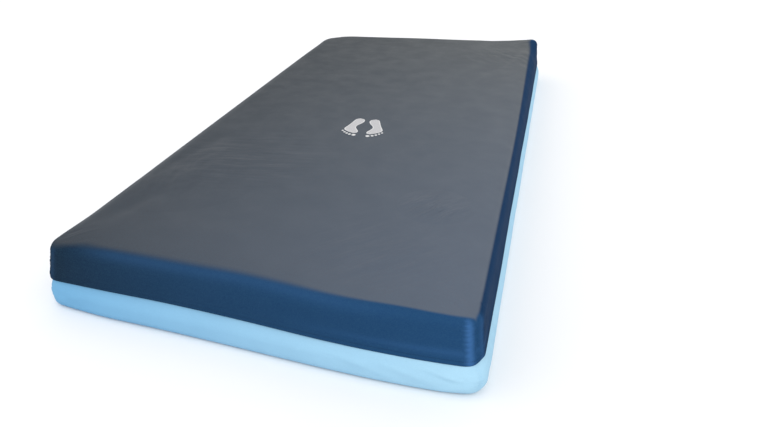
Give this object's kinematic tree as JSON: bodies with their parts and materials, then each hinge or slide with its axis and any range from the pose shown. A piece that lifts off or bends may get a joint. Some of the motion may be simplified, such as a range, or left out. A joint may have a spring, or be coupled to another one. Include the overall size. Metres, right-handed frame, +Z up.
{
  "type": "pressure relief mattress",
  "caption": "Hospital foam mattress: two-tone zip-off cover with a flap over the zip, round a zoned foam core with a cut-cell topper.",
  "frame": {"origin": "centre of the underside, on the surface that the mattress lies on", "axes": "+Z up out of the sleeping surface, +Y along the length towards the head end, +X across the width"},
  "size_m": [0.914, 2.032, 0.152],
  "materials": {
    "navy_cover": "polyurethane-coated stretch knit, satin",
    "light_blue_cover": "polyurethane-coated knit, satin",
    "navy_tape": "woven zip tape",
    "blue_tape": "woven zip tape",
    "navy_teeth": "moulded",
    "blue_teeth": "moulded",
    "zip_metal": "plated, tumbled",
    "label": "blank coated label",
    "firm_foam": "open-cell foam",
    "support_foam": "open-cell foam",
    "heel_foam": "open-cell foam",
    "visco_foam": "slow-recovery foam"
  },
  "bodies": {
    "mattress": {"base_cover": "light_blue_cover", "base_seam_tapes": "blue_tape", "lower_zip_tape": "blue_tape", "lower_zip_teeth": "blue_teeth", "lower_zip_stop": "zip_metal", "zip_retainer_box": "zip_metal", "care_label": "label", "base_foam": "firm_foam", "left_rail": "firm_foam", "right_rail": "firm_foam", "head_rail": "firm_foam", "foot_rail": "firm_foam", "head_zone": "support_foam", "torso_zone": "support_foam", "leg_zone": "support_foam", "heel_zone": "heel_foam", "topper": "visco_foam"},
    "top_cover_body": {"top_cover": "navy_cover", "flap_hem": "navy_cover", "top_seam_tapes": "navy_tape", "upper_zip_tape": "navy_tape", "upper_zip_teeth": "navy_teeth", "upper_zip_stop": "zip_metal", "zip_insertion_pin": "zip_metal"},
    "left_slider_body": {"left_slider": "zip_metal"},
    "left_puller_body": {"left_puller": "zip_metal"},
    "right_slider_body": {"right_slider": "zip_metal"},
    "right_puller_body": {"right_puller": "zip_metal"}
  },
  "joints": [
    {"name": "top_cover_lift", "type": "slide", "parent": "mattress", "child": "top_cover_body", "axis": [0, 0, 1], "range_m": [0, 0.3]},
    {"name": "left_slider_run", "type": "slide", "parent": "mattress", "child": "left_slider_body", "axis": [-1, 0, 0], "range_m": [0, 0.36]},
    {"name": "left_puller_swing", "type": "hinge", "parent": "left_slider_body", "child": "left_puller_body", "pos_m": [-0.009, 1.0129, 0.084], "axis": [0, 1, 0], "range_deg": [-15, 80]},
    {"name": "right_slider_run", "type": "slide", "parent": "mattress", "child": "right_slider_body", "axis": [1, 0, 0], "range_m": [0, 0.36]},
    {"name": "right_puller_swing", "type": "hinge", "parent": "right_slider_body", "child": "right_puller_body", "pos_m": [0.009, 1.0129, 0.084], "axis": [0, -1, 0], "range_deg": [-15, 80]}
  ]
}
